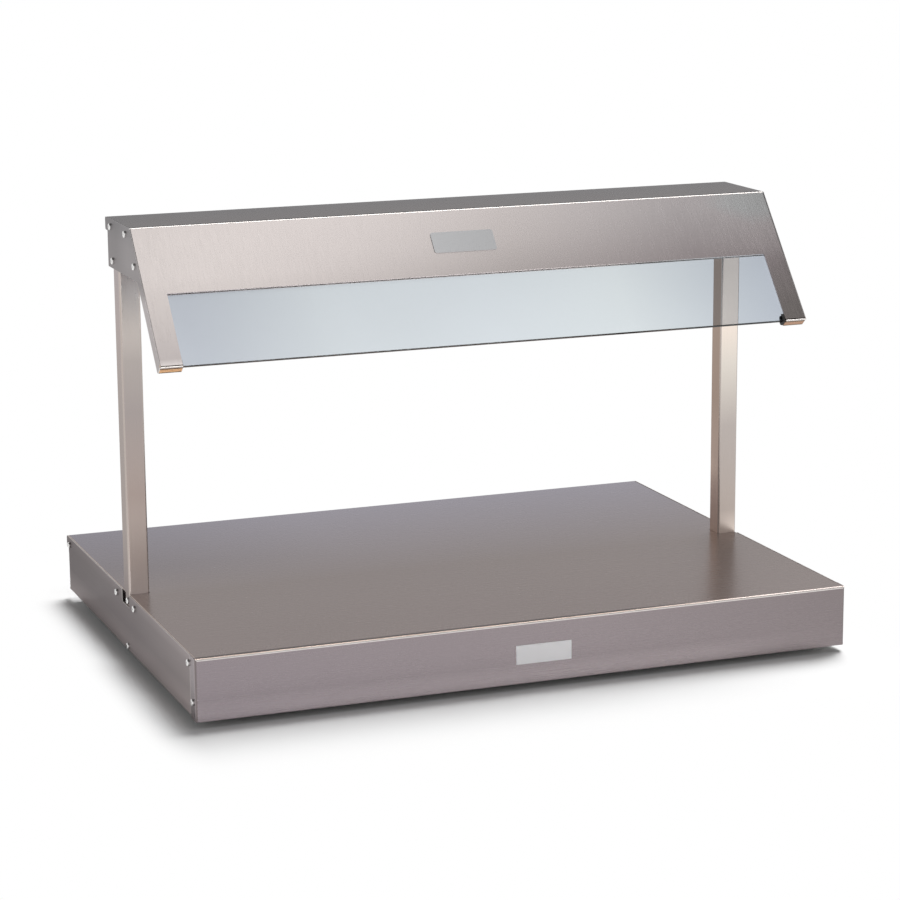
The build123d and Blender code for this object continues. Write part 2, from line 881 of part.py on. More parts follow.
# Canopy shell: rear lip, top, sloped front with a window between two legs, and end flanges
with BuildPart() as canopy_shell:
    with BuildSketch(Plane.YZ):
        with BuildLine():
            FilletPolyline(
                (canopy_rear, canopy_top - canopy_lip_height),
                (canopy_rear, canopy_top),
                (-canopy_front, canopy_top),
                on_slope(slope_length, 0),
                radius=bend,
            )
            offset(amount=sheet, side=Side.LEFT)
        make_face()
    extrude(amount=skin_half, both=True)
    for sign in (-1, 1):
        with BuildSketch(Plane.YZ.offset(sign * flange_inner)):
            with BuildLine():
                Polyline(
                    (canopy_back_inner - seam, canopy_under),
                    slope_at(sheet, sheet),
                    on_slope(flange_stop, sheet),
                    on_slope(flange_stop, leg_flange),
                    on_slope(slope_screw_along + screw_flange_reach, leg_flange),
                    on_slope(slope_screw_along + screw_flange_reach, canopy_flange),
                    slope_at(canopy_flange, canopy_flange),
                    (canopy_back_inner - seam, canopy_top - canopy_flange),
                    close=True,
                )
            make_face()
        extrude(amount=sign * sheet)
    slope_block(
        (-leg_inner, leg_inner),
        (window_start, slope_length + seam),
        (-seam, sheet + seam),
        mode=Mode.SUBTRACT,
    )
    end_holes(canopy_screws_at, flange_inner, skin_half)
save(canopy_shell, "canopy_shell")

# End plates of the canopy, each with a tail along its leg and a hook folded in at the foot
for side, sign in sides:
    with BuildPart() as canopy_end:
        with BuildSketch(Plane.YZ.offset(sign * inner_half)):
            with BuildLine():
                FilletPolyline(
                    (canopy_rear, canopy_top),
                    (-canopy_front, canopy_top),
                    on_slope(hook_end, 0),
                    on_slope(hook_end, hook_depth),
                    on_slope(hook_end - tail_depth + hook_depth, tail_depth),
                    slope_at(canopy_side_drop, tail_depth),
                    (canopy_back_face, canopy_bottom),
                    (canopy_back_face, canopy_top - canopy_lip_height),
                    (canopy_rear, canopy_top - canopy_lip_height),
                    radius=(bend, bend, 0, 0, 0, bend, 0, 0, bend),
                    close=True,
                )
            make_face()
            with Locations(*canopy_screws_at, canopy_post_screw):
                Circle(screw_hole, mode=Mode.SUBTRACT)
        extrude(amount=sign * sheet)
        slope_block((sign * leg_inner, sign * half_length), (hook_start, hook_end), (0, hook_depth))
        depth_edges = canopy_end.edges().filter_by(Axis((0, 0, 0), slope_plane.z_dir))
        foot_edges = depth_edges.group_by(Axis((0, 0, 0), slope_plane.y_dir))[0]
        fillet(foot_edges.sort_by(Axis.X)[-1 if sign > 0 else 0], sheet)
    save(canopy_end, f"canopy_end_{side}")

# Canopy back panel between the end plates
with BuildPart() as canopy_back:
    block(
        (-skin_half, skin_half),
        (canopy_back_inner, canopy_back_face),
        (canopy_bottom, canopy_under - seam),
    )
    block(
        (-skin_half, skin_half),
        (canopy_back_face - back_flange, canopy_back_face),
        (canopy_bottom, canopy_bottom + sheet),
    )
save(canopy_back, "canopy_back")

# Reflector over the lamps
reflector_rear = canopy_back_inner - seam
reflector_rear_top = canopy_top - reflector_rear_drop
with BuildPart() as reflector:
    with BuildSketch(Plane.YZ):
        with BuildLine():
            FilletPolyline(
                (reflector_rear, reflector_rear_top - reflector_rear_flange),
                (reflector_rear, reflector_rear_top),
                (reflector_flat_rear, reflector_flat),
                (reflector_flat_front, reflector_flat),
                on_slope(reflector_front_start, sheet + seam),
                on_slope(reflector_front_start + reflector_front_flange, sheet + seam),
                radius=reflector_bend,
            )
            offset(amount=reflector_sheet, side=Side.LEFT)
        make_face()
    extrude(amount=reflector_half, both=True)
    rod((-holder_outer, lamp_y, reflector_flat), (0, 0, 0), loom_hole, 2 * reflector_drop)
save(reflector, "lamp_reflector")

# Lamp holders under the reflector, each with its X and the way its socket faces
holders = ((-holder_outer, 1), (-holder_middle, -1), (holder_middle, 1), (holder_outer, -1))
for index, (x, facing) in enumerate(holders, start=1):
    with BuildPart() as holder:
        block(
            (x - holder_length / 2, x + holder_length / 2),
            (lamp_y - holder_width / 2, lamp_y + holder_width / 2),
            (reflector_under - holder_height, reflector_under),
        )
        socket_x = x + facing * (holder_length - socket_depth) / 2
        rod((socket_x, lamp_y, lamp_z), along_x, lamp_radius + seam, socket_depth)
    save(holder, f"lamp_holder_{index}")

# Quartz heat lamps
lamp_start = holder_middle + holder_length / 2 - socket_depth + seam
lamp_end = holder_outer - holder_length / 2 + socket_depth - seam
for side, sign in sides:
    with BuildPart() as lamp:
        rod(
            (sign * (lamp_start + lamp_end) / 2, lamp_y, lamp_z),
            along_x,
            lamp_radius,
            lamp_end - lamp_start,
            mode=Mode.ADD,
        )
    save(lamp, f"lamp_tube_{side}")

# Wire guard under the lamps
guard_z = canopy_top - guard_drop
guard_half = holder_outer + holder_length / 2 + guard_clear
guard_rear = reflector_flat_rear - guard_inset
guard_front = reflector_flat_front + guard_inset
guard_step_y = (guard_rear - guard_front) / (guard_rods - 1)
guard_step_x = 2 * (guard_half - guard_bend) / (guard_bars - 1)
with BuildPart() as guard:
    for index in range(guard_rods):
        y = guard_front + index * guard_step_y
        with BuildLine():
            wire = FilletPolyline(
                (-guard_half, y, reflector_under),
                (-guard_half, y, guard_z),
                (guard_half, y, guard_z),
                (guard_half, y, reflector_under),
                radius=guard_bend,
            )
        with BuildSketch(Plane(origin=wire @ 0, z_dir=wire % 0)):
            Circle(guard_rod)
        sweep()
    for index in range(guard_bars):
        rod(
            (index * guard_step_x - guard_half + guard_bend, lamp_y, guard_z - guard_weld),
            along_y,
            guard_rod,
            guard_rear - guard_front + 2 * guard_rod,
            mode=Mode.ADD,
        )
save(guard, "lamp_guard")

# Glass pane behind the window
with BuildPart() as glass:
    slope_block((-glass_half, glass_half), (glass_high, glass_low), (glass_front, glass_back))
    fillet(glass.edges(), edge_round)
save(glass, "glass_pane")

# Pocket strip that holds the glass's top edge and lets it be lifted
pocket_depth = glass_back + seam
with BuildPart() as pocket:
    with BuildSketch(Plane.YZ):
        with BuildLine():
            FilletPolyline(
                on_slope(pocket_top - pocket_flange, sheet + seam),
                on_slope(pocket_top, sheet + seam),
                on_slope(pocket_top, pocket_depth),
                on_slope(window_start - pocket_inset, pocket_depth),
                radius=reflector_bend,
            )
            offset(amount=pocket_sheet, side=Side.LEFT)
        make_face()
    extrude(amount=glass_half, both=True)
save(pocket, "glass_pocket")

# Seal between the window's top edge and the glass
with BuildPart() as seal:
    seal_end = window_start - seal_inset
    slope_block((-glass_half, glass_half), (seal_end - seal_height, seal_end), (sheet, glass_front - seam))
save(seal, "glass_seal")

# Rubber cushions in the hooks, grooved for the glass's bottom edge
cushion_top = groove_low - cushion_grip
cushion_inner = leg_inner - cushion_overhang
cushion_outer = flange_inner - 2 * seam
for side, sign in sides:
    with BuildPart() as cushion:
        slope_block(
            (sign * cushion_inner, sign * cushion_outer),
            (cushion_top, cushion_low),
            (cushion_front, glass_back + seam + cushion_wall),
        )
        fillet(cushion.edges().filter_by(Axis.X), cushion_round)
        slope_block(
            (sign * (cushion_inner - seam), sign * (cushion_outer + seam)),
            (cushion_top - seam, groove_low),
            (glass_front - seam, glass_back + seam),
            mode=Mode.SUBTRACT,
        )
    save(cushion, f"glass_cushion_{side}")

# Screws of the canopy's ends
with BuildPart() as canopy_screws:
    for sign in (-1, 1):
        for place in (*canopy_screws_at, canopy_post_screw):
            with Locations(end_pose(sign, half_length, place)):
                add(pan_screw)
save(canopy_screws, "canopy_screws")

# Blank plates on the sloped front and on the front panel
with BuildPart() as nameplate:
    with BuildSketch(slope_plane):
        with Locations((nameplate_place, -nameplate_along)):
            RectangleRounded(nameplate_width, nameplate_height, nameplate_radius)
    extrude(amount=nameplate_thickness)
save(nameplate, "blank_nameplate")

with BuildPart() as label:
    with BuildSketch(Plane.XZ.offset(half_depth)):
        with Locations((label_place, ground_gap + label_rise)):
            Rectangle(label_width, label_height)
    extrude(amount=label_thickness)
save(label, "blank_label")

# Lamp wiring from the terminal block, up through the left post and over the reflector
loom_z = pan_floor + loom_rise
loom_top = canopy_under - loom_drop
with BuildPart() as loom:
    with BuildLine():
        run = FilletPolyline(
            (terminal_place - terminal_length / 2 - seam, terminal_y, loom_z),
            (-post_centre + loom_turn, terminal_y, loom_z),
            (-post_centre + loom_turn, loom_offset, loom_z),
            (-post_centre, loom_offset, loom_z),
            (-post_centre, loom_offset, loom_top),
            (-holder_outer, lamp_y, loom_top),
            (-holder_outer, lamp_y, reflector_under + seam),
            radius=loom_bends,
        )
    with BuildSketch(Plane(origin=run @ 0, z_dir=run % 0)):
        Circle(loom_radius)
    sweep()
save(loom, "lamp_loom")
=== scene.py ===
import json
from math import cos, radians, sin

import bmesh
import bpy
from mathutils import Matrix, Vector


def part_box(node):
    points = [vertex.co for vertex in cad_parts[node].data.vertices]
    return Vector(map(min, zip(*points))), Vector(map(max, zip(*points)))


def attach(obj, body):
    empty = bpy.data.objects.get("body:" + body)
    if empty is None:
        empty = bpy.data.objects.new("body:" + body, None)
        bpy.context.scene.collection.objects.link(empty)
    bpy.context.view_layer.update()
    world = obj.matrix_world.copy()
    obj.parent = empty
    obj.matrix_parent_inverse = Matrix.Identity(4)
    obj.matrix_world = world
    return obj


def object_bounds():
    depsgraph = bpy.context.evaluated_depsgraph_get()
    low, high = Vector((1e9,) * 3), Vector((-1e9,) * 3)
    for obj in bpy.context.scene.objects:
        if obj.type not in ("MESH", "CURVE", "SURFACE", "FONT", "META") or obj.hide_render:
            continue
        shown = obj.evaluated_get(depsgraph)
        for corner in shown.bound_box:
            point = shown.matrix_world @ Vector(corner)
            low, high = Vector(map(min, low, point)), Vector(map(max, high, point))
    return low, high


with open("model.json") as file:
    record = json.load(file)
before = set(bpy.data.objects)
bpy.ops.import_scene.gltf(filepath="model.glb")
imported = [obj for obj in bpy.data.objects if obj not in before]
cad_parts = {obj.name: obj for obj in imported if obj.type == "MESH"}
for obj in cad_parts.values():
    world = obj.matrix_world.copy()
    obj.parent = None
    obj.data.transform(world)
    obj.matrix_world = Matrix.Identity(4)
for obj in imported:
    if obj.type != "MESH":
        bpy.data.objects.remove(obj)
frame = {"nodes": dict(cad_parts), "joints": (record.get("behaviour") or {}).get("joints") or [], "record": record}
cad_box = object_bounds()
nodes = frame["nodes"]
joints = {joint["name"]: joint for joint in frame["joints"]}
scene = bpy.context.scene

# The slope that the glass lifts up, and the direction straight out of it
upslope = Vector(joints["glass_lift"]["axis"])
outward = Vector((0, -upslope.z, upslope.y))
HOOK_SHEET = 0.0015


def hook_face(side):
    """Outer face of a hook: its place up the slope, its reach outward and its reach across."""
    points = [vertex.co for vertex in nodes[f"canopy_end_{side}"].data.vertices]
    lowest = min(point.dot(upslope) for point in points)
    points = [point for point in points if point.dot(upslope) < lowest + HOOK_SHEET / 2]
    reach = [point.dot(outward) for point in points]
    across = [point.x for point in points]
    return lowest, (min(reach), max(reach)), (min(across), max(across))


# Camera, at the photograph's viewing angle
CAMERA_PLACE = Vector((-1.1878, -3.1693, 0.9681))
CAMERA_AZIMUTH = radians(20.756)
CAMERA_ELEVATION = radians(12.488)
CAMERA_ROLL = radians(-0.432)
CAMERA_LENS = 113.2
CAMERA_SENSOR = 36
CAMERA_REACH = 100


def make_camera():
    level = cos(CAMERA_ELEVATION)
    look = Vector(
        (sin(CAMERA_AZIMUTH) * level, cos(CAMERA_AZIMUTH) * level, -sin(CAMERA_ELEVATION))
    )
    right = look.cross(Vector((0, 0, 1))).normalized()
    up = right.cross(look)
    turned_right = cos(CAMERA_ROLL) * right + sin(CAMERA_ROLL) * up
    turned_up = cos(CAMERA_ROLL) * up - sin(CAMERA_ROLL) * right
    data = bpy.data.cameras.new("camera")
    data.sensor_width = CAMERA_SENSOR
    data.lens = CAMERA_LENS
    data.clip_end = CAMERA_REACH
    camera = bpy.data.objects.new("camera", data)
    turn = Matrix((turned_right, turned_up, -look)).transposed().to_4x4()
    camera.matrix_world = Matrix.Translation(CAMERA_PLACE) @ turn
    scene.collection.objects.link(camera)
    scene.camera = camera


make_camera()

# Node helpers
BLACK = (0, 0, 0)
WHITE = (1, 1, 1)
MIX_FIRST = 6  # colour sockets of a Mix node
MIX_SECOND = 7
MIX_RESULT = 2


class Graph:
    """A node tree, with short calls that return sockets."""

    def __init__(self, tree):
        self.tree = tree

    def add(self, kind, **settings):
        node = self.tree.nodes.new(f"ShaderNode{kind}")
        for key, value in settings.items():
            setattr(node, key, value)
        return node

    def link(self, source, target):
        if isinstance(source, bpy.types.NodeSocket):
            self.tree.links.new(source, target)
        else:
            target.default_value = source

    def math(self, operation, first, second=0.0):
        node = self.add("Math", operation=operation)
        self.link(first, node.inputs[0])
        self.link(second, node.inputs[1])
        return node.outputs["Value"]

    def product(self, first, second):
        return self.math("MULTIPLY", first, second)

    def remap(self, value, low, high, to_low=0.0, to_high=1.0):
        node = self.add("MapRange")
        self.link(value, node.inputs["Value"])
        node.inputs["From Min"].default_value = low
        node.inputs["From Max"].default_value = high
        node.inputs["To Min"].default_value = to_low
        node.inputs["To Max"].default_value = to_high
        return node.outputs["Result"]

    def ramp(self, value, stops, interpolation="LINEAR"):
        node = self.add("ValToRGB")
        band = node.color_ramp
        band.interpolation = interpolation
        while len(band.elements) < len(stops):
            band.elements.new(0.5)
        for element, (position, colour) in zip(band.elements, stops):
            element.position = position
            element.color = (*colour, 1)
        self.link(value, node.inputs["Fac"])
        return node.outputs["Color"]

    def mix(self, factor, first, second):
        node = self.add("Mix", data_type="RGBA")
        self.link(factor, node.inputs["Factor"])
        for source, index in ((first, MIX_FIRST), (second, MIX_SECOND)):
            colour = source if isinstance(source, bpy.types.NodeSocket) else (*source, 1)
            self.link(colour, node.inputs[index])
        return node.outputs[MIX_RESULT]

    def scale_colour(self, colour, factor):
        node = self.add("VectorMath", operation="SCALE")
        self.link(colour, node.inputs[0])
        self.link(factor, node.inputs["Scale"])
        return node.outputs["Vector"]

    def lift(self, colour, mask, factor):
        """The colour, times the factor where the mask is 1."""
        return self.scale_colour(colour, self.remap(mask, 0.0, 1.0, 1.0, factor))

    def split(self, vector):
        node = self.add("SeparateXYZ")
        self.link(vector, node.inputs["Vector"])
        return node.outputs["X"], node.outputs["Y"], node.outputs["Z"]

    def dot(self, vector, direction):
        node = self.add("VectorMath", operation="DOT_PRODUCT")
        self.link(vector, node.inputs[0])
        node.inputs[1].default_value = direction
        return node.outputs["Value"]

    def seen_rays(self):
        """1 for what the camera, metal and glass see, 0 for the light itself."""
        path = self.add("LightPath")
        seen = path.outputs["Is Camera Ray"]
        for output in ("Is Glossy Ray", "Is Transmission Ray"):
            seen = self.math("MAXIMUM", seen, path.outputs[output])
        return seen


class Surface(Graph):
    """A material's node tree, with its shader, its place on the object and its direction."""

    def __init__(self, name):
        self.material = bpy.data.materials.new(name)
        self.material.use_nodes = True
        super().__init__(self.material.node_tree)
        self.shader = self.tree.nodes["Principled BSDF"]
        coordinates = self.add("TexCoord")
        self.place = coordinates.outputs["Object"]
        self.normal = coordinates.outputs["Normal"]

    def noise(self, scale, detail=4.0, roughness=0.6, stretch=None):
        vector = self.place
        if stretch is not None:
            mapping = self.add("Mapping")
            mapping.inputs["Scale"].default_value = stretch
            self.link(vector, mapping.inputs["Vector"])
            vector = mapping.outputs["Vector"]
        node = self.add("TexNoise")
        node.inputs["Scale"].default_value = scale
        node.inputs["Detail"].default_value = detail
        node.inputs["Roughness"].default_value = roughness
        self.link(vector, node.inputs["Vector"])
        return node.outputs["Fac"]

    def bump(self, height, strength, distance):
        node = self.add("Bump")
        node.inputs["Strength"].default_value = strength
        node.inputs["Distance"].default_value = distance
        self.link(height, node.inputs["Height"])
        self.link(node.outputs["Normal"], self.shader.inputs["Normal"])

    def set(self, socket, value):
        if isinstance(value, tuple):
            value = (*value, 1)
        self.link(value, self.shader.inputs[socket])


# Height of the grain on every surface, and the base's reach across and from front to back
BUMP_DISTANCE = 0.0002
WIDTH = (-0.4, 0.4)
DEPTH = (-0.3, 0.3)

# Brushed sheet metal: scratch directions, and what each noise adds to the texture
ALONG_X = (9, 800, 800)
ALONG_Y = (800, 9, 800)
ALONG_Z = (800, 800, 10)
DOWN_SLOPE = (600, 40, 40)
SCRATCH_SHARE = 0.55
SPECKLE_SHARE = 0.25
CLOUD_SHARE = 0.20
# Painted highlight colour for the softened edges of end plates and inner parts
END_SHINE = (0.62, 0.59, 0.57)


def box_edges(graph):
    """1 where a surface turns from one main direction to another, as on a softened edge."""
    x, y, z = (graph.math("ABSOLUTE", part) for part in graph.split(graph.normal))
    largest = graph.math("MAXIMUM", graph.math("MAXIMUM", x, y), z)
    return graph.remap(largest, 0.985, 0.90)


def brushed(
    graph, colour, roughness, grain, contrast, edge, edge_colour, polish=0.6, grazing=0.55
):
    """Brushed metal: scratches along one direction, faint clouds, and edges in a painted highlight colour with a
    roughness of their own.
    """
    scratches = graph.noise(1.0, 6.0, 0.7, grain)
    speckle = graph.noise(900.0, 2.0, 0.5)
    clouds = graph.noise(7.0, 3.0, 0.5)
    fine = graph.product(speckle, SPECKLE_SHARE)
    texture = graph.math("ADD", graph.product(scratches, SCRATCH_SHARE), fine)
    texture = graph.math("ADD", texture, graph.product(clouds, CLOUD_SHARE))
    shade = graph.remap(texture, 0.35, 0.65, 1 - contrast, 1 + contrast)
    # Painted highlight on the edges, a little patchy with the clouds
    edge_highlight = graph.product(edge, graph.remap(clouds, 0.25, 0.6, 0.9, 1.0))
    graph.set("Base Color", graph.mix(edge_highlight, graph.scale_colour(colour, shade), edge_colour))
    rough = graph.remap(texture, 0.35, 0.65, roughness - 0.04, roughness + 0.05)
    graph.set("Roughness", graph.product(rough, graph.remap(edge_highlight, 0.0, 1.0, 1.0, polish)))
    graph.set("Metallic", 1.0)
    graph.set("Specular Tint", (grazing, grazing, grazing + 0.01))
    graph.bump(scratches, 0.03, BUMP_DISTANCE)
    return graph.material


def base_steel():
    """Base skin: top, front and end returns in painted tones of light and shade, with painted highlights on the
    folds between.
    """
    graph = Surface("base_steel")
    x, y, z = graph.split(graph.place)
    side, forward, up = graph.split(graph.normal)
    across = graph.math("ABSOLUTE", side)

    # Top, with tones painted from front to back as its reflections fall, painted shade at the back left and a
    # painted dark reflection line along its front edge
    top = graph.ramp(
        graph.remap(y, *DEPTH),
        [
            (0.0, (0.380, 0.322, 0.303)),
            (0.45, (0.352, 0.302, 0.285)),
            (1.0, (0.436, 0.408, 0.460)),
        ],
    )
    # Painted shade at the back left
    back_left_shade = graph.product(graph.remap(y, 0.0, 0.1), graph.remap(x, -0.1, -0.36))
    top = graph.lift(top, back_left_shade, 0.84)
    # Painted dark reflection line along the top's front edge
    brink_shade = graph.product(graph.remap(y, -0.2912, -0.2945), graph.remap(x, 0.22, 0.12))
    top = graph.mix(brink_shade, top, (0.14, 0.121, 0.115))

    # Front, with tones painted darker towards the right end and painted light near the floor
    front = graph.ramp(
        graph.remap(x, *WIDTH),
        [
            (0.0, (0.310, 0.268, 0.285)),
            (0.6, (0.315, 0.272, 0.282)),
            (1.0, (0.262, 0.226, 0.230)),
        ],
    )
    # Painted light near the floor, less at the right end
    floor_light = graph.product(graph.remap(z, 0.032, 0.013), graph.remap(x, 0.38, 0.22))
    floor_light = graph.product(floor_light, graph.remap(forward, -0.3, -0.7))
    front = graph.lift(front, floor_light, 1.42)

    # Faces by their direction: end returns painted paler, and painted shade on the upright corners
    colour = graph.mix(graph.remap(up, 0.93, 0.98), front, top)
    # End returns painted paler
    colour = graph.mix(graph.remap(across, 0.90, 0.98), colour, (0.46, 0.41, 0.415))
    # Painted shade on the upright corners
    corner_shade = graph.math("MINIMUM", across, graph.math("ABSOLUTE", forward))
    colour = graph.mix(graph.remap(corner_shade, 0.25, 0.5), colour, (0.21, 0.18, 0.18))

    # Rounded fold along the top, with a painted highlight brightest low down and a warm painted reflection in the
    # band where the key lamp's highlight falls
    fold = graph.ramp(up, [(0.14, BLACK), (0.30, WHITE), (0.94, WHITE), (0.98, BLACK)])
    sunlit = graph.mix(graph.remap(x, 0.1, 0.3), (0.57, 0.44, 0.37), (0.58, 0.50, 0.465))
    shine = graph.mix(graph.remap(up, 0.74, 0.82), (1.0, 0.94, 0.90), sunlit)
    return brushed(graph, colour, 0.26, ALONG_X, 0.016, fold, shine, polish=1.4)


def end_steel(name, colour):
    graph = Surface(name)
    # Painted highlight on the softened edges
    return brushed(graph, colour, 0.33, ALONG_Y, 0.03, box_edges(graph), END_SHINE)


def base_end_steel(side, floor_light):
    """Base end plate, with tones painted paler towards the front, painted light near the floor and a painted
    highlight on its upper edge.
    """
    graph = Surface(f"base_end_{side}")
    _, y, z = graph.split(graph.place)
    _, _, up = graph.split(graph.normal)
    # Tones painted paler towards the front
    colour = graph.ramp(
        graph.remap(y, *DEPTH),
        [
            (0.0, (0.40, 0.35, 0.342)),
            (0.42, (0.27, 0.235, 0.232)),
            (1.0, (0.185, 0.157, 0.153)),
        ],
    )
    # Painted light near the floor, then a painted highlight on the upper edge band
    colour = graph.scale_colour(colour, graph.remap(z, 0.012, 0.040, floor_light, 0.95))
    colour = graph.scale_colour(colour, graph.remap(z, 0.068, 0.077, 1.0, 1.2))
    # Painted highlight on faces that turn upward
    colour = graph.mix(graph.remap(up, 0.5, 0.9), colour, (0.50, 0.45, 0.43))
    return brushed(graph, colour, 0.33, ALONG_Y, 0.03, box_edges(graph), END_SHINE)


# Painted shade lines on a hook's outer face: where each starts and is full, from the edge it is near
LIP_LINE = (0.0040, 0.0034)
REAR_LINE = (0.0026, 0.0020)
OUTER_SKIN = (0.0006, 0.0003)


def canopy_end_steel(side, hook_reflection_colour):
    """Canopy end plate with tones painted by height, paler on the tail, and a hook in a painted warm reflection
    colour with a painted highlight on its fold and painted shade lines along its edges.
    """
    graph = Surface(f"canopy_end_{side}")
    _, y, z = graph.split(graph.place)
    sideways, forward, _ = graph.split(graph.normal)
    across = graph.math("ABSOLUTE", sideways)

    # Plate and tail, with tones painted by height and painted light towards the plate's front
    colour = graph.ramp(
        graph.remap(z, 0.37, 0.52),
        [
            (0.12, (0.62, 0.575, 0.56)),
            (0.50, (0.65, 0.605, 0.595)),
            (0.63, (0.38, 0.355, 0.35)),
            (0.87, (0.36, 0.338, 0.336)),
            (1.0, (0.31, 0.296, 0.296)),
        ],
    )
    # Painted light towards the plate's front
    plate_front_light = graph.product(graph.remap(y, -0.01, -0.06), graph.remap(z, 0.455, 0.48))
    colour = graph.lift(colour, plate_front_light, 1.2)

    # Hook, in a painted warm reflection colour, with a painted shade line behind its lip and one at its rear edge
    hook = graph.product(graph.remap(z, 0.388, 0.3805), graph.remap(across, 0.8, 0.6))
    colour = graph.mix(hook, colour, hook_reflection_colour)
    lowest, (rear, front), _ = hook_face(side)
    reach = graph.dot(graph.place, outward)
    behind_lip = graph.remap(reach, *(front - distance for distance in LIP_LINE))
    rear_edge = graph.remap(reach, *(rear + distance for distance in REAR_LINE))
    height = graph.dot(graph.place, upslope)
    outer = graph.remap(height, *(lowest + distance for distance in OUTER_SKIN))
    # Painted shade behind the lip and along the rear edge
    lines = graph.product(graph.math("MAXIMUM", behind_lip, rear_edge), outer)
    colour = graph.mix(lines, colour, (0.22, 0.16, 0.11))

    # Painted highlight on the softened edges and the hook fold
    rim = graph.product(graph.remap(across, 0.2, 0.4), graph.remap(across, 0.98, 0.9))
    hook_fold = graph.product(graph.remap(forward, -0.85, -0.95), graph.remap(z, 0.396, 0.392))
    edge = graph.math("MAXIMUM", rim, hook_fold)
    return brushed(graph, colour, 0.36, ALONG_Y, 0.03, edge, (0.70, 0.66, 0.63))


def canopy_steel():
    """Canopy shell: a slope with light and reflections painted by height and from left to right, and a top."""
    graph = Surface("canopy_steel")
    x, y, z = graph.split(graph.place)
    _, _, up = graph.split(graph.normal)

    # Slope, with tones painted by height and from left to right as its reflections fall, and painted light at the
    # upper right end
    height = graph.remap(z, 0.38, 0.52)
    left = graph.ramp(
        height,
        [
            (0.045, (0.76, 0.70, 0.68)),
            (0.085, (0.565, 0.513, 0.50)),
            (0.50, (0.66, 0.602, 0.58)),
            (0.65, (0.713, 0.652, 0.63)),
        ],
    )
    middle = graph.ramp(
        height,
        [
            (0.54, (0.611, 0.554, 0.539)),
            (0.78, (0.738, 0.674, 0.657)),
            (1.0, (0.80, 0.733, 0.715)),
        ],
    )
    right = graph.ramp(
        height,
        [
            (0.14, (0.568, 0.51, 0.493)),
            (0.50, (0.685, 0.60, 0.605)),
            (0.93, (0.94, 0.87, 0.874)),
        ],
    )
    slope = graph.mix(graph.remap(x, -0.36, 0.05), left, middle)
    slope = graph.mix(graph.remap(x, 0.05, 0.3), slope, right)
    # Painted light at the upper right end
    right_end_light = graph.product(graph.remap(x, 0.28, 0.37), graph.remap(height, 0.45, 0.60))
    slope = graph.lift(slope, right_end_light, 1.18)

    # Top, painted paler towards the front and darker towards the right end, with a painted dark reflection line
    # along the fold
    top = graph.mix(graph.remap(y, 0.02, -0.06), (0.272, 0.252, 0.248), (0.302, 0.270, 0.259))
    top = graph.scale_colour(top, graph.remap(x, 0.18, 0.38, 1.0, 0.94))
    # Painted dark reflection line along the fold
    top = graph.mix(graph.remap(y, -0.0635, -0.0665), top, (0.12, 0.113, 0.11))
    colour = graph.mix(graph.remap(up, 0.94, 0.985), slope, top)

    # Cut edges that face down: a painted highlight, with painted shade at the legs' feet
    cut_edge_light_and_shade = graph.mix(graph.remap(z, 0.40, 0.41), (0.04, 0.038, 0.036), (0.98, 0.93, 0.91))
    colour = graph.mix(graph.remap(up, -0.6, -0.7), colour, cut_edge_light_and_shade)
    # Painted highlight on the fold between slope and top
    fold = graph.ramp(up, [(0.66, BLACK), (0.72, WHITE), (0.93, WHITE), (0.97, BLACK)])
    shine = (0.62, 0.585, 0.56)
    return brushed(
        graph, colour, 0.25, DOWN_SLOPE, 0.03, fold, shine, polish=1.3, grazing=0.40
    )


# How far in from a post's outside its skin ends and its painted dark shade inside begins
POST_SKIN = 0.0006
POST_INSIDE = 0.0009


def post_steel(name, front_stops, left_stops):
    """Tube whose front and left faces have light and reflections painted by height, with painted dark shade inside
    and a painted highlight on its outer edges.
    """
    graph = Surface(name)
    x, y, z = graph.split(graph.place)
    side, forward, _ = graph.split(graph.normal)
    colour = (0.46, 0.405, 0.38)
    # Light and reflections painted by height on the front and left faces
    for facing, pairs in ((forward, front_stops), (side, left_stops)):
        low, high = pairs[0][0], pairs[-1][0]
        scaled = [((height - low) / (high - low), tone) for height, tone in pairs]
        tones = graph.ramp(graph.remap(z, low, high), scaled)
        colour = graph.mix(graph.remap(facing, -0.4, -0.8), colour, tones)
    lowest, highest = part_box(name)
    middle = (lowest[0] + highest[0]) / 2
    half = (highest[0] - lowest[0]) / 2
    across = graph.math("ABSOLUTE", graph.math("SUBTRACT", x, middle))
    reach = graph.math("MAXIMUM", across, graph.math("ABSOLUTE", y))
    # Painted dark shade inside the tube
    inside = graph.remap(reach, half - POST_SKIN, half - POST_INSIDE)
    colour = graph.mix(inside, colour, (0.02, 0.02, 0.02))
    # Painted highlight on the softened outer edges
    outside = graph.remap(reach, half - POST_INSIDE, half - POST_SKIN)
    edge = graph.product(box_edges(graph), outside)
    return brushed(graph, colour, 0.30, ALONG_Z, 0.03, edge, (0.50, 0.44, 0.405))


def plain(name, colour, roughness, metallic=0.0, scale=900.0, contrast=0.08, relief=0.1):
    """Grained surface: colour and roughness vary a little with a fine noise."""
    graph = Surface(name)
    noise = graph.noise(scale)
    shade = graph.remap(noise, 0.3, 0.7, 1 - contrast, 1 + contrast)
    graph.set("Base Color", graph.scale_colour(colour, shade))
    smoothest = max(0.03, roughness - 0.06)
    graph.set("Roughness", graph.remap(noise, 0.2, 0.8, smoothest, roughness + 0.06))
    graph.set("Metallic", metallic)
    graph.bump(noise, relief, BUMP_DISTANCE)
    return graph.material


